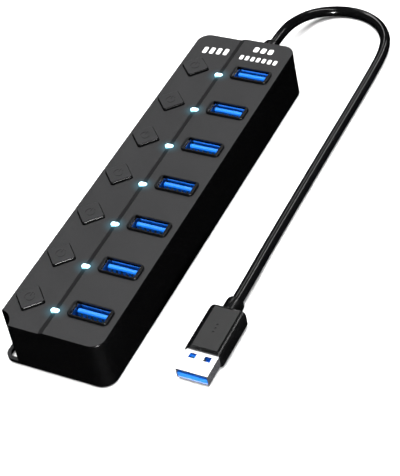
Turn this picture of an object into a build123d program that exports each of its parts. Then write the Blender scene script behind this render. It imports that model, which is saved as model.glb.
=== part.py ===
from build123d import *
import math
import os

# Seven-port USB 3.0 hub: a two-part plastic case with seven upright type A sockets in one row,
# a latching push switch and a light for each socket, and a short lead that ends in a type A plug.
# Millimetres. The origin is on the surface that the hub stands on, under the middle of the case.
# X runs along the case towards the lead, Y towards the switches, Z up.

# ---- Driving dimensions -------------------------------------------------------------------

# Case
socket_count = 7
socket_pitch = 21.6
near_margin = 13.8  # from the last socket's middle to the case's near end
far_margin = 21.6  # from the first socket's middle to the end with the lead
case_width = 42.8
case_height = 20.0
case_corner = 5.5
draft = 0.5  # how far each side leans in between the base plate and the top
wall = 2.0
deck_thickness = 2.0  # over the switches
deck_step = 0.8  # how much lower the switch side of the deck is
step_y = 2.25
step_run = 2.1
edge_round = 0.4
plate_thickness = 1.5
foot_height = 0.6
foot_radius = 4.0
foot_inset_x = 16.5
foot_inset_y = 7.0
scallop_radius = 6.2  # quarter round cut out of the near corner on the switch side
loop_width = 1.4
loop_corner = 3.6
lip_height = 2.0
lip_thickness = 1.2
lip_clearance = 0.25
label_length = 70.0
label_width = 22.0
label_depth = 0.2
label_corner = 2.0

# Circuit board and screws
board_thickness = 1.6
board_gap_y = 2.4
board_gap_near = 1.9
board_gap_far = 0.3  # from the strain relief's flange
screw_radius = 1.0
screw_head_radius = 2.0
screw_head_height = 1.5
screw_sink = 0.7  # head's outer face above the plate's underside
screw_reach = 3.7  # thread inside the cover's post
screw_inset_x = 6.5
screw_inset_y = 5.9
screw_near_y = 6.0  # the screw beside the scallop
post_radius = 2.6
standoff_radius = 3.4
hole_clearance = 0.15
thread_clearance = 0.03

# Type A sockets
socket_inset_y = 10.9  # from the case's side to the sockets' middle line
shell_width = 13.1
shell_depth = 5.7
shell_wall = 0.3
shell_corner = 0.6
shell_length = 14.3
rim_width = 15.8
rim_depth = 7.3
rim_corner = 1.7
rim_height = 1.0
rim_round = 0.35
mouth_recess = 0.8
socket_clearance = 0.12
tongue_width = 11.1
tongue_thickness = 1.84
tongue_gap = 0.68  # between the tongue's back and the shell
tongue_recess = 0.8
tongue_foot = 2.4
contact_proud = 0.1
contact_depth = 0.25
contact_drop = 0.8  # between the tongue's tip and the first contacts
power_contact_width = 1.0
power_contact_length = 7.4
power_contact_y = (-3.5, -1.0, 1.0, 3.5)
fast_contact_width = 0.7
fast_contact_length = 1.6
fast_contact_y = (-4.0, -2.0, 0.0, 2.0, 4.0)
tab_width = 2.2
tab_length = 5.0
tab_top = 3.4  # below the shell's mouth
tab_y = 3.2
tab_slot = 0.3
shell_leg_width = 2.0
shell_leg_length = 2.2
leg_clearance = 0.3

# Switches and their buttons
switch_inset_y = 7.8  # from the case's side to the switches' middle line
switch_size = 7.0
switch_height = 7.0
switch_wall = 0.7
switch_floor = 1.0
switch_lid = 0.8
switch_corner = 0.5
switch_key_width = 1.0
switch_key_depth = 0.3
switch_key_height = 2.0
terminal_width = 0.6
terminal_reach = 1.2
terminal_height = 0.3
terminal_pitch = 2.2
stem_size = 2.8
stem_clearance = 0.2
slider_size = 5.2
slider_height = 1.2
button_diagonal = 11.1
button_corner = 0.9
button_proud = 1.15
button_round = 0.35
button_clearance = 0.2
button_roof = 1.6
button_wall = 0.9
flange_width = 0.7
flange_height = 0.8
release_travel = 1.5
press_travel = 0.5
travel_spare = 0.1
symbol_radius = 1.95
symbol_line = 0.4
symbol_gap = 1.5
symbol_depth = 0.15
spring_radius = 1.5
spring_wire = 0.28
spring_turns = 4
spring_gap = 0.01

# Lights
light_offset_x = -2.4  # from each socket's middle
lens_width = 3.3
lens_depth = 1.9
lens_corner = 0.9
lens_proud = 0.12  # above the sockets' side of the deck
lens_round = 0.3
lens_flange = 0.6
lens_fit = 0.02
led_length = 2.0
led_width = 1.25
led_height = 0.8
led_gap = 0.4

# Parts on the board
chip_size = 8.0
chip_height = 0.9
crystal_length = 11.0
crystal_width = 4.6
crystal_height = 3.5
capacitor_radius = 2.5
capacitor_height = 5.4
regulator_length = 6.5
regulator_width = 3.5
regulator_height = 1.6
resistor_length = 1.6
resistor_width = 0.8
resistor_height = 0.5
plug_in_length = 4.0
plug_in_width = 9.0
plug_in_height = 5.4

# Lead and its strain relief
cable_diameter = 4.2
gland_y = -5.0
gland_z = 11.0
gland_length = 9.6
gland_root_radius = 3.9
gland_tip_radius = 3.7
gland_tip_rounding = 0.8  # share of the tip's wall that is rounded off
gland_neck_radius = 2.6
gland_flange_radius = 3.6
gland_flange_length = 1.5
gland_fit = 0.05
lead_diameter = 1.0
lead_pitch = 1.08

# Type A plug
plug_y = -46.3
plug_tip_x = -70.2
plug_shell_width = 12.0
plug_shell_depth = 4.5
plug_shell_out = 9.1
plug_shell_in = 6.0
plug_body_width = 15.0
plug_body_depth = 6.8
plug_body_length = 20.6
plug_body_corner = 2.6
plug_body_round = 0.9
plug_panel_length = 13.0
plug_panel_width = 8.6
plug_panel_depth = 0.2
plug_panel_corner = 1.0
plug_neck_radius = 3.4
plug_neck_length = 5.8
plug_neck_round = 1.0
latch_hole_width = 2.5
latch_hole_length = 2.2
latch_hole_y = 2.8
latch_hole_back = 5.7  # from the plug's tip
insulator_thickness = 1.95
insulator_recess = 0.4
plug_contact_length = 7.0

# The lead's route, chosen by hand: out of the strain relief, down to the surface, round in a
# half loop and straight back beside the case to the plug.
route_points = [
    (101.2, gland_y, gland_z),
    (113.8, -5.0, 7.5),
    (125.6, -8.8, 3.9),
    (131.9, -18.3, 2.2),
    (131.4, -29.6, 2.1),
    (125.0, -39.3, 2.1),
    (113.6, -45.1, 2.1),
    (90.0, -45.6, 2.1),
    (50.0, -45.4, 2.1),
    (10.5, -45.3, 2.1),
    (-10.5, -45.4, 2.1),
    (-23.5, plug_y, plug_body_depth / 2),
]

# ---- Places worked out from the driving dimensions ----------------------------------------

socket_row = socket_pitch * (socket_count - 1)
case_length = socket_row + near_margin + far_margin
near_x = -case_length / 2
far_x = case_length / 2
side_y = case_width / 2
case_bottom = foot_height
wall_foot = case_bottom + plate_thickness
case_top = case_bottom + case_height
switch_deck = case_top - deck_step
deck_under = switch_deck - deck_thickness
rim_top = case_top + rim_height
lens_top = case_top + lens_proud
mouth_z = rim_top - mouth_recess
board_top = mouth_z - shell_length
board_under = board_top - board_thickness
socket_y = -side_y + socket_inset_y
switch_y = side_y - switch_inset_y
socket_xs = [far_x - far_margin - socket_pitch * index for index in range(socket_count)]
light_xs = [x + light_offset_x for x in socket_xs]
inner_width = shell_width - 2 * shell_wall
inner_depth = shell_depth - 2 * shell_wall
housing_top = board_top + switch_height
middle_screws = [(light_xs[index] - socket_pitch / 2, step_y) for index in (1, 4)]
screw_x = case_length / 2 - screw_inset_x
end_screw_y = side_y - screw_inset_y
screw_places = [
    (-screw_x, -end_screw_y),
    (-screw_x, screw_near_y),
    (screw_x, -end_screw_y),
    (screw_x, end_screw_y),
] + middle_screws
head_seat = case_bottom + screw_sink + screw_head_height
flange_top = deck_under - release_travel - travel_spare
flange_bottom = flange_top - flange_height
button_floor = flange_bottom - press_travel - travel_spare
button_top = switch_deck + button_proud
stem_top = button_top - button_roof
housing_lid_under = housing_top - switch_lid
slider_top = housing_lid_under - release_travel - 2 * travel_spare
slider_bottom = slider_top - slider_height
flange_reach = side_y - draft - wall - button_clearance - switch_y
gland_seat_x = far_x - wall - draft
gland_inner_x = gland_seat_x - gland_flange_length
gland_root_x = far_x - draft * (gland_z - gland_root_radius - wall_foot) / (case_top - wall_foot)
gland_face_x = gland_root_x + gland_length
screw_shank = board_top + screw_reach - head_seat
plug_z = plug_body_depth / 2
plug_back_x = plug_tip_x + plug_shell_out
plug_end_x = plug_back_x + plug_body_length + plug_neck_length
tongue_back = inner_depth / 2 - tongue_gap
tongue_face = tongue_back - tongue_thickness
tongue_tip = mouth_z - tongue_recess


def block(x_span, y_span, z_span):
    """A plain block between two values on each axis."""
    corner = Pos(x_span[0], y_span[0], z_span[0])
    size = (x_span[1] - x_span[0], y_span[1] - y_span[0], z_span[1] - z_span[0])
    return corner * Box(*size, align=(Align.MIN, Align.MIN, Align.MIN))


def post(radius, place, low, high):
    """An upright round post, also used as the cutter for a round hole."""
    base = Pos(place[0], place[1], low)
    return base * Cylinder(radius, high - low, align=(Align.CENTER, Align.CENTER, Align.MIN))


def rod(radius, start_x, end_x, y, z):
    """A round rod along X."""
    base = Pos(start_x, y, z) * Rot(0, 90, 0)
    return base * Cylinder(radius, end_x - start_x, align=(Align.CENTER, Align.CENTER, Align.MIN))


def upright(outline, low, high):
    """A flat outline raised between two levels."""
    return extrude(Pos(0, 0, low) * outline, high - low)


def case_block(inset, low, high):
    """The case's outline drawn in by inset, with the sides leaning in towards the top."""
    sections = []
    for level in (low, high):
        lean = inset + draft * (level - wall_foot) / (case_top - wall_foot)
        outline = RectangleRounded(case_length - 2 * lean, case_width - 2 * lean, case_corner - lean)
        sections.append(Pos(0, 0, level) * outline)
    return loft(sections, ruled=True)


def scallop(extra=0.0):
    """The round cutter at the near corner on the switch side, grown by extra."""
    return post(scallop_radius + extra, (near_x, side_y), case_bottom - 1, rim_top)


def above_deck():
    """Everything above the stepped deck."""
    clear = rim_top + 5
    profile = Polyline(
        (-side_y - 5, case_top),
        (step_y - step_run / 2, case_top),
        (step_y + step_run / 2, switch_deck),
        (side_y + 5, switch_deck),
        (side_y + 5, clear),
        (-side_y - 5, clear),
        close=True,
    )
    upright_face = make_face(Plane.YZ.offset(near_x - 5) * profile)
    return extrude(upright_face, case_length + 10)


def diamond(diagonal, corner):
    """A square with rounded corners, turned to stand on one corner."""
    side = diagonal / math.sqrt(2) + 2 * corner * (1 - 1 / math.sqrt(2))
    return Rot(0, 0, 45) * RectangleRounded(side, side, corner)


# ---- Case ---------------------------------------------------------------------------------


def make_top_cover():
    outside = case_block(0, wall_foot, case_top) - scallop() - above_deck()
    top_edges = [
        edge
        for edge in outside.edges()
        if edge.bounding_box().min.Z > switch_deck - 0.01
        and not abs(edge.center().Y - step_y) < step_run / 2 + 0.01
        or (edge.bounding_box().min.Z > switch_deck - 0.01 and edge.length < 2 * step_run)
    ]
    cover = fillet(top_edges, edge_round)
    for x in socket_xs:
        rim_outline = Pos(x, socket_y) * RectangleRounded(rim_depth, rim_width, rim_corner)
        rim = upright(rim_outline, deck_under, rim_top)
        cover += fillet(rim.faces().sort_by(Axis.Z)[-1].edges(), rim_round)
    cover -= case_block(wall, wall_foot, deck_under) - scallop(wall)
    for place in screw_places:
        cover += post(post_radius, place, board_top, deck_under)
        cover -= post(screw_radius + thread_clearance, place, board_top, head_seat + screw_shank + 1)
    gap = socket_clearance
    for x, light_x in zip(socket_xs, light_xs):
        opening = Rectangle(shell_depth + 2 * gap, shell_width + 2 * gap)
        cover -= upright(Pos(x, socket_y) * opening, deck_under - 1, rim_top + 1)
        button_hole = diamond(button_diagonal + 2 * button_clearance, button_corner)
        cover -= upright(Pos(x, switch_y) * button_hole, button_floor, rim_top)
        window = RectangleRounded(lens_depth + 2 * lens_fit, lens_width + 2 * lens_fit, lens_corner)
        cover -= upright(Pos(light_x, step_y) * window, deck_under - 1, rim_top)
    cover -= rod(gland_neck_radius + gland_fit, gland_seat_x, far_x + 1, gland_y, gland_z)
    return cover


def make_bottom_plate():
    outline = RectangleRounded(case_length, case_width, case_corner)
    plate = upright(outline, case_bottom, wall_foot) - scallop()
    loop_outer = RectangleRounded(case_length, case_width, loop_corner)
    loop_inner = RectangleRounded(
        case_length - 2 * loop_width, case_width - 2 * loop_width, loop_corner - loop_width
    )
    loop = upright(loop_outer - loop_inner, case_bottom, wall_foot)
    reach = scallop_radius + loop_width
    corner = block((near_x, near_x + reach), (side_y - reach, side_y), (case_bottom, wall_foot))
    plate += loop & corner
    lip_inset = wall + lip_clearance
    lip = case_block(lip_inset, wall_foot, wall_foot + lip_height) - scallop(lip_inset)
    lip_inside = lip_inset + lip_thickness
    lip -= case_block(lip_inside, wall_foot, wall_foot + lip_height) - scallop(lip_inside)
    plate += lip
    for place in screw_places:
        plate += post(standoff_radius, place, wall_foot, board_under)
    for place in screw_places:
        plate -= post(screw_radius + hole_clearance, place, case_bottom, board_under)
        plate -= post(screw_head_radius + 2 * hole_clearance, place, case_bottom, head_seat)
    label = RectangleRounded(label_length, label_width, label_corner)
    plate -= upright(label, case_bottom, case_bottom + label_depth)
    return plate


def make_feet():
    foot = post(foot_radius, (0, 0), 0, foot_height)
    foot = chamfer(foot.faces().sort_by(Axis.Z)[0].edges(), foot_height / 3)
    x = case_length / 2 - foot_inset_x
    y = side_y - foot_inset_y
    return [Pos(sign_x * x, sign_y * y) * foot for sign_x in (-1, 1) for sign_y in (-1, 1)]


def make_screws():
    head_bottom = case_bottom + screw_sink
    head = post(screw_head_radius, (0, 0), head_bottom, head_seat)
    head = fillet(head.faces().sort_by(Axis.Z)[0].edges(), screw_head_height / 3)
    slot = screw_head_radius * 0.3
    for turn in (0, 90):
        blade = Box(screw_head_radius * 1.3, slot, screw_head_height)
        head -= Rot(0, 0, turn) * Pos(0, 0, head_bottom) * blade
    screw = head + post(screw_radius, (0, 0), head_seat, head_seat + screw_shank)
    tip = screw.faces().sort_by(Axis.Z)[-1].edges()
    screw = chamfer(tip, screw_radius / 3)
    return [Pos(*place) * screw for place in screw_places]


# ---- Circuit board and the parts on it ----------------------------------------------------


def make_board():
    x_span = (near_x + wall + board_gap_near, gland_inner_x - board_gap_far)
    width = case_width - 2 * (wall + board_gap_y)
    board = block(x_span, (-width / 2, width / 2), (board_under, board_top))
    board -= scallop(wall + board_gap_near)
    for place in screw_places:
        board -= post(screw_radius + hole_clearance, place, board_under, board_top)
    slot_x = shell_leg_width / 2 + leg_clearance
    slot_y = shell_wall / 2 + leg_clearance
    for x in socket_xs:
        for side in (-1, 1):
            y = socket_y + side * (shell_width - shell_wall) / 2
            board -= block((x - slot_x, x + slot_x), (y - slot_y, y + slot_y), (board_under, board_top))
    return board


def on_board(length, width, height, x, y):
    """A small block that sits on the board, with its middle at x, y."""
    x_span = (x - length / 2, x + length / 2)
    y_span = (y - width / 2, y + width / 2)
    return block(x_span, y_span, (board_top, board_top + height))


def between_lights(index):
    """X half way between one light and the next one towards the near end."""
    return light_xs[index] - socket_pitch / 2


def make_chips():
    chips = [on_board(chip_size, chip_size, chip_height, between_lights(index), step_y) for index in (0, 3)]
    return [chamfer(chip.faces().sort_by(Axis.Z)[-1].edges(), chip_height / 5) for chip in chips]


def make_crystal():
    body = upright(
        Pos(between_lights(2), step_y) * SlotOverall(crystal_length, crystal_width),
        board_top,
        board_top + crystal_height,
    )
    return fillet(body.faces().sort_by(Axis.Z)[-1].edges(), crystal_height / 8)


def make_capacitors():
    cans = []
    for x in socket_xs[:-1]:
        place = (x - socket_pitch / 2, switch_y)
        base = on_board(2 * capacitor_radius, 2 * capacitor_radius, capacitor_height / 6, *place)
        can = post(capacitor_radius, place, board_top + capacitor_height / 6, board_top + capacitor_height)
        can = fillet(can.faces().sort_by(Axis.Z)[-1].edges(), capacitor_radius / 8)
        cans.append(base + can)
    return cans


def make_regulator():
    x = far_x - far_margin / 2
    return on_board(regulator_length, regulator_width, regulator_height, x, step_y + 2 * regulator_width)


def make_resistors():
    y = switch_y - switch_size / 2 - terminal_reach - 2 * resistor_width
    spots = [(x + shift, y) for x in socket_xs for shift in (-resistor_length, resistor_length)]
    return [on_board(resistor_length, resistor_width, resistor_height, *spot) for spot in spots]


def make_plug_in():
    x = far_x - far_margin / 2 + plug_in_length / 2
    return on_board(plug_in_length, plug_in_width, plug_in_height, x, gland_y)


def make_leads():
    start = far_x - far_margin / 2 + plug_in_length
    leads = []
    for row, count in ((0, 5), (1, 4)):
        z = gland_z + (row - 1) * lead_pitch
        for index in range(count):
            y = gland_y + (index - (count - 1) / 2) * lead_pitch
            leads.append(rod(lead_diameter / 2, start, gland_inner_x, y, z))
    return leads


# ---- Lights -------------------------------------------------------------------------------


def make_leds():
    return [on_board(led_length, led_width, led_height, x, step_y) for x in light_xs]


def make_light_guides():
    guides = []
    foot = board_top + led_height + led_gap
    for x in light_xs:
        window = RectangleRounded(lens_depth, lens_width, lens_corner)
        guide = upright(Pos(x, step_y) * window, foot, lens_top)
        guide = fillet(guide.faces().sort_by(Axis.Z)[-1].edges(), lens_round)
        flange = RectangleRounded(lens_depth + 2 * lens_flange, lens_width + 2 * lens_flange, lens_corner)
        guide += upright(Pos(x, step_y) * flange, deck_under - lens_flange, deck_under)
        guides.append(guide)
    return guides


# ---- Sockets ------------------------------------------------------------------------------


def make_shell():
    """One socket's metal shell, with its mouth up and its middle on the Z axis."""
    outer = upright(RectangleRounded(shell_depth, shell_width, shell_corner), board_top, mouth_z)
    inner_outline = RectangleRounded(inner_depth, inner_width, shell_corner - shell_wall)
    inner = upright(inner_outline, board_top, mouth_z)
    shell = outer - inner
    high = mouth_z - tab_top
    low = high - tab_length
    for side in (-1, 1):
        wall_x = side * (shell_depth - shell_wall) / 2
        x_span = (wall_x - shell_wall, wall_x + shell_wall)
        for y in (-tab_y, tab_y):
            for edge_y in (y - tab_width / 2, y + tab_width / 2):
                shell -= block(x_span, (edge_y - tab_slot / 2, edge_y + tab_slot / 2), (low, high))
            reach = tab_width / 2 + tab_slot / 2
            shell -= block(x_span, (y - reach, y + reach), (high - tab_slot, high))
        leg_y = side * (shell_width - shell_wall) / 2
        shell += block(
            (-shell_leg_width / 2, shell_leg_width / 2),
            (leg_y - shell_wall / 2, leg_y + shell_wall / 2),
            (board_top - shell_leg_length, board_top + 1),
        )
    return shell


def make_socket_contacts():
    """The contacts of one socket, standing a little proud of the tongue's face."""
    x_span = (tongue_face - contact_proud, tongue_face + contact_depth)
    contacts = []
    for y in power_contact_y:
        half = power_contact_width / 2
        top = tongue_tip - fast_contact_length - 2 * contact_drop
        contacts.append(block(x_span, (y - half, y + half), (top - power_contact_length, top)))
    for y in fast_contact_y:
        half = fast_contact_width / 2
        top = tongue_tip - contact_drop
        contacts.append(block(x_span, (y - half, y + half), (top - fast_contact_length, top)))
    return contacts


def make_tongue():
    """One socket's blue insulator: the tongue and the block that it stands on."""
    foot_depth = inner_depth - 2 * lens_fit
    foot_width = inner_width - 2 * lens_fit
    foot_outline = RectangleRounded(foot_depth, foot_width, shell_corner - shell_wall)
    foot = upright(foot_outline, board_top, board_top + tongue_foot)
    half = tongue_width / 2
    blade = block((tongue_face, tongue_back), (-half, half), (board_top, tongue_tip))
    blade = chamfer(blade.faces().sort_by(Axis.Z)[-1].edges().filter_by(Axis.Y), tongue_thickness / 5)
    tongue = foot + blade
    for contact in make_socket_contacts():
        tongue -= contact
    return tongue


# ---- Switches and buttons -----------------------------------------------------------------


def make_switch():
    half = switch_size / 2
    housing = upright(RectangleRounded(switch_size, switch_size, switch_corner), board_top, housing_top)
    cavity = switch_size - 2 * switch_wall
    housing -= upright(Rectangle(cavity, cavity), board_top + switch_floor, housing_lid_under)
    mouth = stem_size + 2 * stem_clearance
    key_bottom = housing_top - switch_key_height
    housing -= upright(Rectangle(mouth, mouth), housing_lid_under, housing_top)
    for side in (-1, 1):
        wall_y = side * half
        y_span = (wall_y - switch_key_depth, wall_y + switch_key_depth)
        key = block((-switch_key_width / 2, switch_key_width / 2), y_span, (key_bottom, housing_top))
        housing -= key
    return housing


def make_terminals():
    """The metal feet of all the switches, three on each side."""
    feet = []
    for x in socket_xs:
        for side in (-1, 1):
            inside = switch_y + side * switch_size / 2
            outside = inside + side * terminal_reach
            y_span = (min(inside, outside), max(inside, outside))
            for index in (-1, 0, 1):
                middle = x + index * terminal_pitch
                x_span = (middle - terminal_width / 2, middle + terminal_width / 2)
                feet.append(block(x_span, y_span, (board_top, board_top + terminal_height)))
    return feet


def make_plunger():
    slider = upright(Rectangle(slider_size, slider_size), slider_bottom, slider_top)
    stem = upright(Rectangle(stem_size, stem_size), slider_top, stem_top)
    return slider + stem


def make_spring():
    """The switch's return spring, under the plunger."""
    low = board_top + switch_floor + spring_wire / 2 + spring_gap
    high = slider_bottom - spring_wire / 2 - spring_gap
    path = Helix(pitch=(high - low) / spring_turns, height=high - low, radius=spring_radius)
    section = Plane(origin=path @ 0, z_dir=path % 0) * Circle(spring_wire / 2)
    return Pos(0, 0, low) * sweep(section, path=path)


def power_symbol():
    """A broken ring with a short bar in its gap."""
    middle = symbol_radius - symbol_line / 2
    ring = Circle(symbol_radius) - Circle(symbol_radius - symbol_line)
    ring -= Pos(0, middle) * Rectangle(symbol_gap, symbol_radius)
    bar = Pos(0, symbol_radius * 0.65) * Rectangle(symbol_line, symbol_radius * 0.95)
    return Rot(0, 0, -90) * (ring + bar)


def make_button():
    cap = upright(diamond(button_diagonal, button_corner), flange_bottom, button_top)
    cap = fillet(cap.faces().sort_by(Axis.Z)[-1].edges(), button_round)
    flange = upright(diamond(button_diagonal + 2 * flange_width, button_corner), flange_bottom, flange_top)
    reach = button_diagonal
    cap += flange & block((-reach, reach), (-reach, flange_reach), (flange_bottom, flange_top))
    hollow = diamond(button_diagonal - 2 * math.sqrt(2) * button_wall, button_corner / 3)
    cap -= upright(hollow, flange_bottom, stem_top)
    grip = stem_size + 2 * lens_fit
    boss = stem_size + 2 * button_wall
    socket = Rectangle(boss, boss) - Rectangle(grip, grip)
    cap += upright(socket, flange_bottom, stem_top)
    cap -= upright(power_symbol(), button_top - symbol_depth, button_top + 1)
    return cap


# ---- Lead, strain relief and plug ---------------------------------------------------------


def make_gland():
    flange = rod(gland_flange_radius, gland_inner_x, gland_seat_x, gland_y, gland_z)
    neck = rod(gland_neck_radius, gland_seat_x, gland_root_x, gland_y, gland_z)
    sleeve = Pos(gland_root_x, gland_y, gland_z) * Rot(0, 90, 0) * Cone(
        gland_root_radius, gland_tip_radius, gland_length, align=(Align.CENTER, Align.CENTER, Align.MIN)
    )
    tip_wall = gland_tip_radius - cable_diameter / 2
    sleeve = fillet(sleeve.faces().sort_by(Axis.X)[-1].edges(), tip_wall * gland_tip_rounding)
    return flange + neck + sleeve


def route():
    """The lead's middle line: straight runs joined by arcs as large as the runs allow."""
    start = (gland_face_x, gland_y, gland_z)
    end = (plug_end_x, plug_y, plug_z)
    points = [Vector(*point) for point in [start] + route_points + [end]]
    radii = []
    for before, corner, after in zip(points, points[1:], points[2:]):
        arriving = corner - before
        leaving = after - corner
        half_turn = math.radians(arriving.get_angle(leaving)) / 2
        radii.append(0.45 * min(arriving.length, leaving.length) / math.tan(half_turn))
    print("lead radii:", [round(radius, 1) for radius in radii])
    return FilletPolyline(*points, radius=radii)


def make_cable():
    path = route()
    section = Plane(origin=path @ 0, z_dir=path % 0) * Circle(cable_diameter / 2)
    cable = sweep(section, path=path)
    expected = path.length * math.pi * (cable_diameter / 2) ** 2
    print("lead length:", round(path.length, 1), "volume ratio:", round(cable.volume / expected, 4))
    return cable


def make_plug_body():
    x = plug_back_x
    outline = RectangleRounded(plug_body_depth, plug_body_width, plug_body_corner)
    facing = Pos(x, plug_y, plug_z) * Rot(0, 90, 0)
    body = facing * extrude(outline, plug_body_length)
    ends = body.faces().sort_by(Axis.X)
    body = fillet(ends[0].edges() + ends[-1].edges(), plug_body_round)
    neck = rod(plug_neck_radius, x + plug_body_length, plug_end_x, plug_y, plug_z)
    neck = fillet(neck.faces().sort_by(Axis.X)[-1].edges(), plug_neck_round)
    body += neck
    middle = x + plug_body_length / 2
    panel = Pos(middle, plug_y) * RectangleRounded(plug_panel_length, plug_panel_width, plug_panel_corner)
    body -= upright(panel, plug_body_depth - plug_panel_depth, plug_body_depth)
    pocket = block(
        (x, x + plug_shell_in),
        (plug_y - plug_shell_width / 2, plug_y + plug_shell_width / 2),
        (plug_z - plug_shell_depth / 2, plug_z + plug_shell_depth / 2),
    )
    return body - pocket


def make_plug_shell():
    half_y = plug_shell_width / 2
    half_z = plug_shell_depth / 2
    x_span = (plug_tip_x, plug_back_x + plug_shell_in)
    shell = block(x_span, (plug_y - half_y, plug_y + half_y), (plug_z - half_z, plug_z + half_z))
    inner_y = half_y - shell_wall
    inner_z = half_z - shell_wall
    shell -= block(x_span, (plug_y - inner_y, plug_y + inner_y), (plug_z - inner_z, plug_z + inner_z))
    hole_x = plug_tip_x + latch_hole_back
    for side in (-1, 1):
        y = plug_y + side * latch_hole_y
        y_span = (y - latch_hole_width / 2, y + latch_hole_width / 2)
        shell -= block((hole_x, hole_x + latch_hole_length), y_span, (0, plug_body_depth))
    return shell


def plug_contact_blocks():
    face = plug_z - plug_shell_depth / 2 + shell_wall + insulator_thickness
    start = plug_tip_x + insulator_recess + contact_drop
    x_span = (start, start + plug_contact_length)
    z_span = (face - contact_depth, face + contact_proud)
    contacts = []
    for y in power_contact_y:
        half = power_contact_width / 2
        contacts.append(block(x_span, (plug_y + y - half, plug_y + y + half), z_span))
    return contacts


def make_plug_insulator():
    inner_y = plug_shell_width / 2 - shell_wall
    inner_z = plug_shell_depth / 2 - shell_wall
    y_span = (plug_y - inner_y, plug_y + inner_y)
    back = plug_back_x + plug_shell_in
    low = plug_z - inner_z
    tongue = block((plug_tip_x + insulator_recess, back), y_span, (low, low + insulator_thickness))
    stopper = block((plug_back_x - 1, back), y_span, (low, plug_z + inner_z))
    insulator = tongue + stopper
    for contact in plug_contact_blocks():
        insulator -= contact
    return insulator


# ---- Writing the parts --------------------------------------------------------------------


def save(name, solids):
    """Write one part, or a group of loose pieces as one part, to its own file."""
    if isinstance(solids, list):
        solids = Compound(children=[solid.solid() for solid in solids])
    solids.label = name
    export_step(solids, os.path.join("parts", name + ".step"))


os.makedirs("parts", exist_ok=True)
save("top_cover", make_top_cover())
save("bottom_plate", make_bottom_plate())
save("rubber_feet", make_feet())
save("case_screws", make_screws())
save("circuit_board", make_board())
save("hub_controllers", make_chips())
save("crystal_oscillator", make_crystal())
save("capacitors", make_capacitors())
save("voltage_regulator", make_regulator())
save("resistors", make_resistors())
save("cable_connector", make_plug_in())
save("cable_leads", make_leads())
save("indicator_leds", make_leds())
save("light_guides", make_light_guides())

shell = make_shell()
tongue = make_tongue()
housing = make_switch()
plunger = make_plunger()
spring = make_spring()
button = make_button()
contacts = []
for number, x in enumerate(socket_xs, start=1):
    at_socket = Pos(x, socket_y)
    at_switch = Pos(x, switch_y)
    contacts += [at_socket * contact for contact in make_socket_contacts()]
    save(f"port_shell_{number}", at_socket * shell)
    save(f"port_tongue_{number}", at_socket * tongue)
    save(f"plunger_{number}", at_switch * plunger)
    save(f"button_{number}", at_switch * button)
    save(f"spring_{number}", at_switch * spring)
save("port_contacts", contacts)
save("switch_housings", [Pos(x, switch_y) * housing for x in socket_xs])
save("switch_terminals", make_terminals())

save("cable_strain_relief", make_gland())
save("usb_cable", make_cable())
save("plug_body", make_plug_body())
save("plug_shell", make_plug_shell())
save("plug_insulator", make_plug_insulator())
save("plug_contacts", plug_contact_blocks())
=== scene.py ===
"""A slim USB hub with seven upright sockets, a diamond button and a light beside each, and a
short lead with a type A plug: its looks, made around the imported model.

Lengths are in metres in the model's own frame: X along the case towards the lead, Y towards the
buttons, Z up, with the feet standing on Z = 0.
"""

import math

import bpy
from mathutils import Matrix, Quaternion, Vector


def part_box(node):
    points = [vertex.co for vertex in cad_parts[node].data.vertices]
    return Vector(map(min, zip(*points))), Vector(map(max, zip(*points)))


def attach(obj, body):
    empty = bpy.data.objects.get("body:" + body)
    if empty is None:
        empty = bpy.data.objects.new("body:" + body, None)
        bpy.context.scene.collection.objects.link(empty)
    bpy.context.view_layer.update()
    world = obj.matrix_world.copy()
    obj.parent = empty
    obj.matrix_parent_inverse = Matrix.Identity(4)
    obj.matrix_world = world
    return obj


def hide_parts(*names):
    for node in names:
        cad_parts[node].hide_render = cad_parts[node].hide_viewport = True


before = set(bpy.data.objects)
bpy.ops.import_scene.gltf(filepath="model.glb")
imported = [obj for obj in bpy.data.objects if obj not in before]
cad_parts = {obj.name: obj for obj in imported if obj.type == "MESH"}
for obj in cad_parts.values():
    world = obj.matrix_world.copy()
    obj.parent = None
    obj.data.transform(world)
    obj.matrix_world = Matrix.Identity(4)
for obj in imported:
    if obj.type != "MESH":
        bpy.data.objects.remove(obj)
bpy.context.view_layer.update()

MM = 0.001
NUMBERS = range(1, 8)
HUB = "hub"


# ---- Places read from the frame -----------------------------------------------------------

cover_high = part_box("top_cover")[1]
relief_low, relief_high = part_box("cable_strain_relief")
grip_low, grip_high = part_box("plug_body")
shell_boxes = [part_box(f"port_shell_{number}") for number in NUMBERS]

rim_rise = 1.0 * MM
deck_z = cover_high.z - rim_rise
deck_step = 0.8 * MM
step_y = 2.25 * MM
socket_xs = [(low.x + high.x) / 2 for low, high in shell_boxes]
socket_pitch = socket_xs[0] - socket_xs[1]
light_offset = 2.4 * MM
light_xs = [x - light_offset for x in socket_xs]
light_half_width = 0.95 * MM
light_half_length = 1.65 * MM
halo_start = 0.8 * MM
halo_end = 5.2 * MM
plug_y = (grip_low.y + grip_high.y) / 2
plug_z = (grip_low.z + grip_high.z) / 2
relief_y = (relief_low.y + relief_high.y) / 2
relief_z = (relief_low.z + relief_high.z) / 2


# ---- Modelling helpers --------------------------------------------------------------------


def pick_only(piece):
    """Selects one object alone and makes it the active one."""
    bpy.ops.object.select_all(action="DESELECT")
    piece.select_set(True)
    bpy.context.view_layer.objects.active = piece


def named(name):
    """Gives the object just added, and its mesh, their name."""
    piece = bpy.context.object
    piece.name = name
    piece.data.name = name
    return piece


def settle(piece):
    """Moves the object's place, turn and scale into its mesh."""
    pick_only(piece)
    bpy.ops.object.transform_apply(location=True, rotation=True, scale=True)
    return piece


def add_block(name, middle, size, turn=0.0):
    bpy.ops.object.select_all(action="DESELECT")
    bpy.ops.mesh.primitive_cube_add(size=1, location=middle, rotation=(0, 0, turn))
    piece = named(name)
    piece.scale = size
    return settle(piece)


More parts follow.
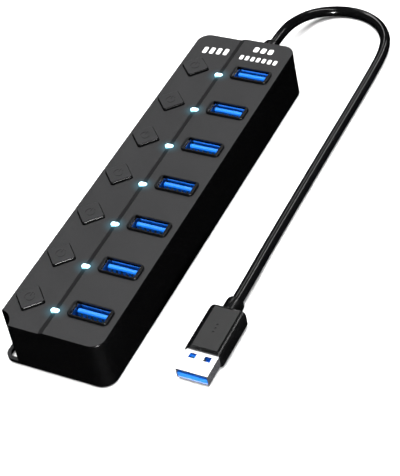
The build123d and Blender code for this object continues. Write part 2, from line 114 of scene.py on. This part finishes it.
def add_round(name, middle, radius, depth, along="Z", sides=64):
    turns = {"X": (0, math.pi / 2, 0), "Y": (math.pi / 2, 0, 0), "Z": (0, 0, 0)}
    bpy.ops.object.select_all(action="DESELECT")
    bpy.ops.mesh.primitive_cylinder_add(
        vertices=sides, radius=radius, depth=depth, location=middle, rotation=turns[along]
    )
    return settle(named(name))


def edit(piece, mode, wanted):
    """Opens edit mode with only the wanted faces, edges or points selected."""
    pick_only(piece)
    bpy.ops.object.mode_set(mode="EDIT")
    bpy.ops.mesh.select_mode(type=mode)
    bpy.ops.mesh.select_all(action="DESELECT")
    bpy.ops.object.mode_set(mode="OBJECT")
    mesh = piece.data
    if mode == "FACE":
        for face in mesh.polygons:
            face.select = wanted(face.center, face.normal)
    elif mode == "EDGE":
        for edge in mesh.edges:
            edge.select = wanted(*[mesh.vertices[index].co for index in edge.vertices])
    else:
        for point in mesh.vertices:
            point.select = wanted(point.co)
    bpy.ops.object.mode_set(mode="EDIT")


def done():
    bpy.ops.object.mode_set(mode="OBJECT")


def bevel_edges(piece, wanted, width, segments=3):
    edit(piece, "EDGE", wanted)
    bpy.ops.mesh.bevel(offset=width, segments=segments, profile=0.5)
    done()


def is_upright(start, end):
    return abs(start.x - end.x) + abs(start.y - end.y) < 1e-6


def combine(piece, other, operation):
    """Cuts the other shape out of the piece, adds it or keeps what both share, and removes it."""
    pick_only(piece)
    tool = piece.modifiers.new("combine", "BOOLEAN")
    tool.operation = operation
    tool.solver = "EXACT"
    tool.object = other
    bpy.ops.object.modifier_apply(modifier=tool.name)
    bpy.data.objects.remove(other)


def turned(name, profile, y, z, sides=56):
    """A solid turned about a line along X, from its outline of (x, radius) steps."""
    x, radius = profile[0]
    bpy.ops.object.select_all(action="DESELECT")
    bpy.ops.mesh.primitive_circle_add(
        vertices=sides, radius=radius, fill_type="NGON", location=(x, y, z), rotation=(0, math.pi / 2, 0)
    )
    piece = settle(named(name))
    bpy.ops.object.mode_set(mode="EDIT")
    bpy.ops.mesh.select_all(action="SELECT")
    for next_x, next_radius in profile[1:]:
        bpy.ops.mesh.extrude_region_move(TRANSFORM_OT_translate={"value": (next_x - x, 0, 0)})
        share = next_radius / radius
        bpy.ops.transform.resize(value=(1, share, share), center_override=(next_x, y, z))
        x, radius = next_x, next_radius
    bpy.ops.mesh.select_all(action="SELECT")
    bpy.ops.mesh.normals_make_consistent(inside=False)
    done()
    return piece


def runs_along_x(start, end):
    return abs(start.y - end.y) + abs(start.z - end.z) < 1e-6


def merge(pieces, name):
    """Joins loose pieces of one kind into one object."""
    pick_only(pieces[0])
    for piece in pieces:
        piece.select_set(True)
    bpy.context.view_layer.objects.active = pieces[0]
    bpy.ops.object.join()
    return named(name)


def tidy_edges(piece, width, segments=2, angle=30):
    """Rounds the piece's sharp edges by a small even bevel, applied."""
    pick_only(piece)
    rounding = piece.modifiers.new("rounding", "BEVEL")
    rounding.width = width
    rounding.segments = segments
    rounding.limit_method = "ANGLE"
    rounding.angle_limit = math.radians(angle)
    bpy.ops.object.modifier_apply(modifier=rounding.name)


def smooth(piece, angle=40):
    pick_only(piece)
    bpy.ops.object.shade_smooth_by_angle(angle=math.radians(angle))
    return piece


def finish_piece(piece, finish, body, slot, *nodes):
    """Gives a piece its material and body, and hides the model's nodes that it stands for."""
    piece.data.materials.clear()
    piece.data.materials.append(finish)
    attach(piece, body)
    if nodes:
        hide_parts(*nodes)
    return piece


# ---- Material helpers ---------------------------------------------------------------------


class Recipe:
    """A material's node tree, built a node at a time."""

    def __init__(self, name, **settings):
        self.material = bpy.data.materials.new(name)
        self.material.use_nodes = True
        self.tree = self.material.node_tree
        self.shader = self.tree.nodes["Principled BSDF"]
        for socket, value in settings.items():
            self.shader.inputs[socket.replace("_", " ")].default_value = value
        self.place = self.node("ShaderNodeTexCoord").outputs["Object"]

    def node(self, kind, **settings):
        made = self.tree.nodes.new(kind)
        for name, value in settings.items():
            setattr(made, name, value)
        return made

    def link(self, source, target):
        self.tree.links.new(source, target)

    def noise(self, scale, detail=3.0, stretch=(1, 1, 1), roughness=0.55):
        """Noise on Object coordinates, with its features about 1 / scale metres across."""
        mapping = self.node("ShaderNodeMapping")
        mapping.inputs["Scale"].default_value = [scale * share for share in stretch]
        self.link(self.place, mapping.inputs["Vector"])
        texture = self.node("ShaderNodeTexNoise")
        texture.inputs["Scale"].default_value = 1.0
        texture.inputs["Detail"].default_value = detail
        texture.inputs["Roughness"].default_value = roughness
        self.link(mapping.outputs["Vector"], texture.inputs["Vector"])
        return texture.outputs["Fac"]

    def span(self, source, low, high, from_low=0.3, from_high=0.7):
        """Maps a value to a new range."""
        ranged = self.node("ShaderNodeMapRange")
        sockets = ("From Min", "From Max", "To Min", "To Max")
        for socket, value in zip(sockets, (from_low, from_high, low, high)):
            ranged.inputs[socket].default_value = value
        self.link(source, ranged.inputs["Value"])
        return ranged.outputs["Result"]

    def blend(self, share, first, second):
        """Mixes two colours, each a tuple or another node's output."""
        mixed = self.node("ShaderNodeMix", data_type="RGBA")
        self.link(share, mixed.inputs["Factor"])
        for socket, colour in ((mixed.inputs[6], first), (mixed.inputs[7], second)):
            if isinstance(colour, tuple):
                socket.default_value = (*colour, 1)
            else:
                self.link(colour, socket)
        return mixed.outputs[2]

    def math(self, operation, first, second=0.0, third=0.0):
        made = self.node("ShaderNodeMath", operation=operation)
        for socket, value in zip(made.inputs, (first, second, third)):
            if isinstance(value, (int, float)):
                socket.default_value = value
            else:
                self.link(value, socket)
        return made.outputs[0]

    def axes(self):
        split = self.node("ShaderNodeSeparateXYZ")
        self.link(self.place, split.inputs[0])
        return split.outputs

    def facing(self):
        """The surface's normal, split on the three axes."""
        split = self.node("ShaderNodeSeparateXYZ")
        self.link(self.node("ShaderNodeNewGeometry").outputs["Normal"], split.inputs[0])
        return split.outputs

    def bump(self, height, distance, strength=1.0):
        bump = self.node("ShaderNodeBump")
        bump.inputs["Strength"].default_value = strength
        bump.inputs["Distance"].default_value = distance
        self.link(height, bump.inputs["Height"])
        self.link(bump.outputs["Normal"], self.shader.inputs["Normal"])

    def colour(self, source):
        self.link(source, self.shader.inputs["Base Color"])

    def roughness(self, source):
        self.link(source, self.shader.inputs["Roughness"])


def moulded_plastic(name, dark, light, grain=2600, rough=(0.5, 0.62), depth=0.00003, specular=0.3):
    """Injection-moulded plastic with a fine spark-eroded texture and faint handling marks."""
    recipe = Recipe(name, Specular_IOR_Level=specular)
    patch = recipe.noise(45, detail=4)
    fine = recipe.noise(grain, detail=2)
    recipe.colour(recipe.blend(recipe.span(patch, 0, 1), dark, light))
    recipe.roughness(recipe.span(patch, *rough))
    recipe.bump(fine, depth)
    return recipe.material


def case_plastic(name, grey, black, glow):
    """The case's plastic: a fine matt texture on the deck; painted shade that makes the slopes and the
    sockets' rims darker and the smooth walls black, by the way each face points and by height; and
    on the cover a painted glow round each window."""
    recipe = Recipe(name, Specular_IOR_Level=0.35)
    x, y, z = recipe.axes()
    up = recipe.facing()[2]
    on_deck = recipe.span(up, 0, 1, from_low=0.88, from_high=0.99)
    patch = recipe.noise(38, detail=4)
    fine = recipe.noise(2300, detail=2, roughness=0.6)
    deck = recipe.blend(recipe.span(patch, 0, 1), tuple(grey), tuple(1.12 * part for part in grey))
    speckled = recipe.blend(recipe.span(fine, 0, 0.10), deck, (0.05, 0.05, 0.052))
    if glow:
        # Painted shade on the sockets' raised rims: their tops go most of the way to black by height.
        painted_rim_shade = recipe.span(z, 0, 0.8, from_low=deck_z + 0.3 * rim_rise, from_high=deck_z + 0.8 * rim_rise)
        speckled = recipe.blend(painted_rim_shade, speckled, tuple(black))
    # Painted shade: faces that don't point up, the walls and slopes, take the black in place of the deck's
    # grey.
    recipe.colour(recipe.blend(on_deck, tuple(black), speckled))
    recipe.roughness(recipe.span(on_deck, 0.27, 0.62, from_low=0, from_high=1))
    recipe.bump(fine, 0.00003, strength=0.6)
    # Painted glow: a soft blue-green pool of emission on the deck round each light window, in place of the
    # light the windows throw.
    if glow:
        along = recipe.math("SUBTRACT", x, light_xs[-1])
        along = recipe.math("WRAP", along, socket_pitch / 2, -socket_pitch / 2)
        across = recipe.math("SUBTRACT", y, step_y)
        across = recipe.math("MULTIPLY", across, 0.8)
        squares = recipe.math("ADD", recipe.math("POWER", along, 2.0), recipe.math("POWER", across, 2.0))
        distance = recipe.math("SQRT", squares)
        painted_glow = recipe.span(distance, 1, 0, from_low=halo_start, from_high=halo_end)
        painted_glow = recipe.math("POWER", painted_glow, 2.6)
        painted_glow = recipe.math("MULTIPLY", painted_glow, on_deck)
        last_light = recipe.math("LESS_THAN", x, light_xs[0] + socket_pitch / 2)
        painted_glow = recipe.math("MULTIPLY", painted_glow, last_light)
        recipe.link(recipe.math("MULTIPLY", painted_glow, 0.38), recipe.shader.inputs["Emission Strength"])
        recipe.shader.inputs["Emission Color"].default_value = (0.05, 0.36, 0.50, 1)
    return recipe.material


def plated_steel(name, tone, rough, stretch=(1, 1, 14)):
    """Nickel-plated sheet steel with faint drawing lines."""
    recipe = Recipe(name, Metallic=1.0)
    lines = recipe.noise(420, detail=3, stretch=stretch)
    dull = recipe.noise(130, detail=4)
    recipe.colour(recipe.blend(recipe.span(dull, 0, 1), tuple(0.86 * part for part in tone), tone))
    recipe.roughness(recipe.span(lines, rough * 0.8, rough * 1.3))
    recipe.bump(lines, 0.000012, strength=0.5)
    return recipe.material


def plug_steel(name):
    """Bright satin plating, with painted light and shade: its colour goes by the way a face points, pale up
    and down, dark sideways.
    """
    recipe = Recipe(name, Metallic=0.45)
    up = recipe.math("ABSOLUTE", recipe.facing()[2])
    lines = recipe.noise(420, detail=3, stretch=(14, 1, 1))
    painted_light_share = recipe.span(up, 0, 1, from_low=0.35, from_high=0.85)
    # Painted light and shade: pale on faces that point up or down, dark on faces that point sideways.
    recipe.colour(recipe.blend(painted_light_share, (0.07, 0.07, 0.075), (0.96, 0.96, 0.97)))
    recipe.roughness(recipe.span(lines, 0.21, 0.34))
    recipe.bump(lines, 0.000012, strength=0.5)
    return recipe.material


def lamp_plastic(name):
    """A light window: nearly white at its middle and cyan at its edge, and glowing."""
    recipe = Recipe(name, Roughness=0.25, Emission_Strength=1.35)
    x, y = recipe.axes()[:2]
    along = recipe.math("SUBTRACT", x, light_xs[-1])
    along = recipe.math("WRAP", along, socket_pitch / 2, -socket_pitch / 2)
    along = recipe.math("ABSOLUTE", along)
    across = recipe.math("ABSOLUTE", recipe.math("SUBTRACT", y, step_y))
    along = recipe.math("DIVIDE", along, light_half_width)
    across = recipe.math("DIVIDE", across, light_half_length)
    edge = recipe.math("MAXIMUM", along, across)
    share = recipe.span(edge, 0, 1, from_low=0.45, from_high=1.0)
    glow = recipe.blend(share, (0.82, 0.97, 1.0), (0.30, 0.80, 1.0))
    recipe.colour(glow)
    recipe.link(glow, recipe.shader.inputs["Emission Color"])
    return recipe.material


def cable_jacket(name, rough=(0.11, 0.16)):
    """Soft black PVC: satin, with a faint drawn grain."""
    recipe = Recipe(name, Specular_IOR_Level=0.6)
    fine = recipe.noise(900, detail=3)
    patch = recipe.noise(60)
    recipe.colour(recipe.blend(recipe.span(patch, 0, 1), (0.0012, 0.0012, 0.0013), (0.0024, 0.0024, 0.0026)))
    recipe.roughness(recipe.span(fine, *rough))
    recipe.bump(fine, 0.00001, strength=0.4)
    return recipe.material


def print_ink(name, tone):
    """Pad-printed ink, slightly uneven."""
    recipe = Recipe(name, Specular_IOR_Level=0.3)
    patch = recipe.noise(700, detail=4)
    recipe.colour(recipe.blend(recipe.span(patch, 0, 1), tuple(0.9 * part for part in tone), tone))
    recipe.roughness(recipe.span(patch, 0.45, 0.6))
    return recipe.material


def floor_paper(name):
    recipe = Recipe(name, Roughness=0.9, Specular_IOR_Level=0.0)
    patch = recipe.noise(3)
    recipe.colour(recipe.blend(patch, (0.86, 0.86, 0.86), (0.88, 0.88, 0.88)))
    return recipe.material


GREY = (0.0165, 0.0165, 0.017)
# SHADE_BLACK is painted shade: the case's walls, slopes and rims, the buttons' sides and the base's walls go
# to it by the way each face points.
SHADE_BLACK = (0.0009, 0.0009, 0.001)
finishes = {
    "case": case_plastic("case_plastic", GREY, SHADE_BLACK, glow=True),
    "button": case_plastic("button_plastic", GREY, SHADE_BLACK, glow=False),
    "base": case_plastic("base_plastic", GREY, SHADE_BLACK, glow=False),
    "blue": moulded_plastic(
        "socket_blue_plastic",
        (0.006, 0.13, 0.62),
        (0.010, 0.18, 0.80),
        grain=3500,
        rough=(0.28, 0.4),
        specular=0.5,
    ),
    "shell": plated_steel("socket_shell_steel", (0.86, 0.87, 0.89), 0.22),
    "tip": plug_steel("plug_shell_steel"),
    "screw": plated_steel("screw_steel", (0.45, 0.45, 0.46), 0.35, stretch=(1, 1, 1)),
    "gold": plated_steel("contact_gold", (0.95, 0.74, 0.36), 0.25),
    "lamp": lamp_plastic("light_window"),
    "jacket": cable_jacket("cable_jacket"),
    "grip": cable_jacket("plug_grip_plastic", rough=(0.22, 0.28)),
    "panel": moulded_plastic("plug_panel_plastic", (0.017, 0.017, 0.017), (0.021, 0.021, 0.021)),
    "rubber": moulded_plastic("foot_rubber", (0.012, 0.012, 0.012), (0.02, 0.02, 0.02), rough=(0.75, 0.9)),
    "board": moulded_plastic("solder_mask", (0.008, 0.10, 0.035), (0.012, 0.15, 0.05), rough=(0.3, 0.4)),
    "chip": moulded_plastic("chip_resin", (0.012, 0.012, 0.013), (0.02, 0.02, 0.021)),
    "cream": moulded_plastic("connector_nylon", (0.62, 0.56, 0.42), (0.70, 0.64, 0.50)),
    "white": moulded_plastic("switch_nylon", (0.66, 0.66, 0.63), (0.74, 0.74, 0.71)),
    "wire": moulded_plastic("lead_insulation", (0.42, 0.03, 0.02), (0.5, 0.05, 0.03), rough=(0.3, 0.4)),
    "ink": print_ink("white_ink", (0.82, 0.82, 0.82)),
}


# ---- Nodes that keep the model's shape ----------------------------------------------------

kept_nodes = {
    "case": ["top_cover"],
    "base": ["bottom_plate", "switch_housings"],
    "button": [f"button_{number}" for number in NUMBERS],
    "white": [f"plunger_{number}" for number in NUMBERS],
    "screw": ["case_screws", "switch_terminals"] + [f"spring_{number}" for number in NUMBERS],
    "rubber": ["rubber_feet"],
    "board": ["circuit_board"],
    "chip": ["hub_controllers", "voltage_regulator", "resistors"],
    "shell": ["crystal_oscillator", "capacitors"] + [f"port_shell_{number}" for number in NUMBERS],
    "blue": ["plug_insulator"] + [f"port_tongue_{number}" for number in NUMBERS],
    "gold": ["port_contacts", "plug_contacts"],
    "cream": ["cable_connector"],
    "wire": ["cable_leads"],
    "lamp": ["indicator_leds", "light_guides"],
    "tip": ["plug_shell"],
}


def dress_kept_nodes():
    for finish, nodes in kept_nodes.items():
        for node in nodes:
            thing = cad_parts[node]
            thing.data.materials.clear()
            thing.data.materials.append(finishes[finish])


# ---- Lead ---------------------------------------------------------------------------------

lead_radius = 2.1 * MM
route = [
    (relief_high.x, relief_y, relief_z),
    (0.1012, relief_y, relief_z),
    (0.1138, -0.0050, 0.0075),
    (0.1256, -0.0088, 0.0039),
    (0.1319, -0.0183, 0.0022),
    (0.1314, -0.0296, 0.0021),
    (0.1250, -0.0393, 0.0021),
    (0.1136, -0.0451, 0.0021),
    (0.0900, -0.0456, 0.0021),
    (0.0500, -0.0454, 0.0021),
    (0.0105, -0.0453, 0.0021),
    (-0.0105, -0.0454, 0.0021),
    (-0.0235, plug_y, plug_z),
    (grip_high.x, plug_y, plug_z),
]


def add_lead(plug_pieces):
    """The free lead, from the strain relief's face to the plug's neck."""
    curve = bpy.data.curves.new("lead", "CURVE")
    curve.dimensions = "3D"
    curve.bevel_depth = lead_radius
    curve.bevel_resolution = 6
    curve.resolution_u = 24
    curve.use_fill_caps = True
    spline = curve.splines.new("NURBS")
    spline.points.add(len(route) - 1)
    for point, place in zip(spline.points, route):
        point.co = (*place, 1)
    spline.order_u = 3
    spline.use_endpoint_u = True
    lead = bpy.data.objects.new("lead", curve)
    bpy.context.scene.collection.objects.link(lead)
    finish_piece(lead, finishes["jacket"], HUB, "cable_black", "usb_cable")


# ---- Strain relief and plug ---------------------------------------------------------------


def add_strain_relief():
    """A flange inside the end wall, a neck through it, and a smooth sleeve with a rounded lip."""
    wall_x = relief_low.x + 1.5 * MM
    root_x = cover_high.x - 0.12 * MM
    lip_x = relief_high.x
    steps = [
        (relief_low.x, 3.6), (wall_x, 3.6), (wall_x, 2.6), (root_x, 2.6), (root_x, 3.86),
        (root_x + 0.9 * MM, 3.88), (root_x + 1.1 * MM, 3.55), (root_x + 1.6 * MM, 3.55),
        (root_x + 1.8 * MM, 3.86), (lip_x - 2.2 * MM, 3.74), (lip_x - 1.4 * MM, 3.72),
        (lip_x - 0.8 * MM, 3.58), (lip_x - 0.35 * MM, 3.26), (lip_x - 0.08 * MM, 2.8),
        (lip_x, 2.4), (lip_x, 2.1),
    ]
    profile = [(x, radius * MM) for x, radius in steps]
    relief = smooth(turned("strain_relief", profile, relief_y, relief_z), angle=50)
    return finish_piece(relief, finishes["grip"], HUB, "cable_black", "cable_strain_relief")


neck_length = 5.8 * MM
grip_back = grip_high.x - neck_length
grip_middle_x = (grip_low.x + grip_back) / 2
grip_length = grip_back - grip_low.x
grip_width = grip_high.y - grip_low.y
panel_rise = 0.4 * MM
side_round = 2.9 * MM
front_corner = 1.3 * MM
back_corner = 2.2 * MM
pocket_size = (12.2 * MM, 12.04 * MM, 4.54 * MM)
panel_width = 9.4 * MM
panel_thickness = 0.8 * MM
panel_slope = 1.5 * MM
pip_gap = 1.7 * MM
pip_radius = 0.5 * MM


def add_plug_grip():
    """The moulded grip: rounded sides, rounded corners, and a round neck that the lead enters."""
    height = grip_high.z - grip_low.z - panel_rise
    middle = (grip_middle_x, plug_y, grip_low.z + height / 2)
    grip = add_block("plug_grip", middle, (grip_length, grip_width, height))
    bevel_edges(grip, runs_along_x, side_round, segments=9)
    plan = add_block("grip_plan", middle, (grip_length, grip_width, 2 * height))
    is_front = lambda start, end: is_upright(start, end) and start.x < grip_middle_x
    is_back = lambda start, end: is_upright(start, end) and start.x > grip_middle_x
    bevel_edges(plan, is_front, front_corner, segments=5)
    bevel_edges(plan, is_back, back_corner, segments=7)
    combine(grip, plan, "INTERSECT")
    tidy_edges(grip, 0.45 * MM, segments=3, angle=50)
    end_x = grip_high.x
    steps = [
        (grip_back - 1.5 * MM, 3.1), (grip_back, 3.15), (grip_back + 0.5 * MM, 3.15),
        (grip_back + 0.8 * MM, 3.36), (end_x - 1.5 * MM, 3.38), (end_x - 0.8 * MM, 3.26),
        (end_x - 0.35 * MM, 3.02), (end_x - 0.08 * MM, 2.66), (end_x, 2.3), (end_x, 2.1),
    ]
    neck = turned("grip_neck", [(x, radius * MM) for x, radius in steps], plug_y, plug_z)
    combine(grip, neck, "UNION")
    pocket = add_block("pocket", (grip_low.x, plug_y, plug_z), pocket_size)
    combine(grip, pocket, "DIFFERENCE")
    smooth(grip, angle=35)
    return finish_piece(grip, finishes["grip"], HUB, "plug_black", "plug_body")


def add_grip_panel():
    """The flat raised panel on the grip, sloped down at its front, with three round dimples."""
    front = grip_low.x + 0.7 * MM
    back = grip_back - 0.9 * MM
    middle = ((front + back) / 2, plug_y, grip_high.z - panel_thickness / 2)
    panel = add_block("plug_grip_panel", middle, (back - front, panel_width, panel_thickness))
    top = grip_high.z
    edit(panel, "VERT", lambda point: point.x < middle[0] and point.z > top - panel_thickness / 2)
    bpy.ops.transform.translate(value=(panel_slope, 0, 0))
    done()
    tidy_edges(panel, 0.14 * MM, segments=2, angle=35)
    for index in (-1, 0, 1):
        place = (middle[0] + index * pip_gap, plug_y, top)
        pip = add_round("pip", place, pip_radius, pip_radius, sides=24)
        combine(panel, pip, "DIFFERENCE")
    smooth(panel, angle=12)
    return finish_piece(panel, finishes["panel"], HUB, "plug_black")


# ---- Printed marks ------------------------------------------------------------------------


def add_ticks(name, deck, start, along, count, size, gap):
    """A row of slim printed bars on the deck, the first one at start."""
    bars = []
    for index in range(count):
        place = Vector(start) + index * gap * Vector(along)
        bar = add_block("bar", (place.x, place.y, deck + 0.01 * MM), (*size, 0.04 * MM))
        bevel_edges(bar, is_upright, min(size) * 0.3, segments=3)
        bars.append(bar)
    marks = merge(bars, name)
    return finish_piece(marks, finishes["ink"], HUB, "case_grey")


def add_marks():
    """Plain printed bars beside the far end, in place of any lettering."""
    low_deck = deck_z - deck_step
    add_ticks("speed_marks", low_deck, (0.0722, 0.0147), (0.1, -1), 4, (3.8 * MM, 1.7 * MM), 2.9 * MM)
    add_ticks("title_marks", deck_z, (0.0766, -0.0058), (0, -1), 3, (3.0 * MM, 2.0 * MM), 3.1 * MM)
    add_ticks("port_marks", deck_z, (0.0708, -0.0020), (0, -1), 7, (2.6 * MM, 1.4 * MM), 2.4 * MM)


# ---- Floor, light and camera --------------------------------------------------------------


def add_floor():
    bpy.ops.object.select_all(action="DESELECT")
    bpy.ops.mesh.primitive_plane_add(size=6)
    floor = named("floor")
    floor.data.materials.append(floor_paper("floor_paper"))
    floor.visible_glossy = False


def add_softbox(name, place, aim, size, watts):
    """A rectangular lamp; its first size lies along X as nearly as its aim allows."""
    data = bpy.data.lights.new(name, "AREA")
    data.shape = "RECTANGLE"
    data.size, data.size_y = size
    data.energy = watts
    lamp = bpy.data.objects.new(name, data)
    back = (Vector(place) - Vector(aim)).normalized()
    along = Vector((1, 0, 0))
    along = (along - along.dot(back) * back).normalized()
    lamp.location = place
    lamp.rotation_mode = "QUATERNION"
    lamp.rotation_quaternion = Matrix((along, back.cross(along), back)).transposed().to_quaternion()
    bpy.context.scene.collection.objects.link(lamp)
    return lamp


def add_light():
    world = bpy.data.worlds.new("studio")
    bpy.context.scene.world = world
    world.use_nodes = True
    nodes, links = world.node_tree.nodes, world.node_tree.links
    background = nodes["Background"]
    split = nodes.new("ShaderNodeSeparateXYZ")
    ramp = nodes.new("ShaderNodeValToRGB")
    links.new(nodes.new("ShaderNodeTexCoord").outputs["Generated"], split.inputs[0])
    links.new(split.outputs[2], ramp.inputs["Fac"])
    ramp.color_ramp.elements[0].position = 0.1
    ramp.color_ramp.elements[0].color = (0.0, 0.0, 0.0, 1)
    ramp.color_ramp.elements[1].position = 0.8
    ramp.color_ramp.elements[1].color = (0.05, 0.05, 0.051, 1)
    links.new(ramp.outputs["Color"], background.inputs["Color"])
    overhead = add_softbox("overhead", (0.05, 0.05, 0.9), (0, 0, 0), (0.9, 0.9), 24)
    overhead.visible_glossy = False
    add_softbox("back_card", (0.58, 0.39, 0.70), (0.0, -0.02, 0.01), (0.60, 0.07), 0.75)
    add_softbox("long_strip", (0.50, -0.32, 0.86), (0.05, -0.045, 0.0), (1.3, 0.06), 2.8)
    add_softbox("corner_lamp", (-0.46, -0.44, 0.06), (-0.08, -0.02, 0.01), (0.04, 0.04), 7)


def add_camera():
    data = bpy.data.cameras.new("view")
    data.lens = 110.93
    data.clip_start = 0.01
    camera = bpy.data.objects.new("view", data)
    place = Vector((-0.32716, -0.23574, 0.37306))
    aim = Vector((-0.016581, -0.024417, 0.0106))
    roll = math.radians(11.895)
    camera.location = place
    camera.rotation_mode = "QUATERNION"
    level = (aim - place).to_track_quat("-Z", "Y")
    camera.rotation_quaternion = level @ Quaternion((0, 0, 1), -roll)
    bpy.context.scene.collection.objects.link(camera)
    bpy.context.scene.camera = camera


bpy.context.scene.view_settings.view_transform = "Standard"
dress_kept_nodes()
add_floor()
add_lead([add_strain_relief(), add_plug_grip(), add_grip_panel()])
add_marks()
add_light()
add_camera()
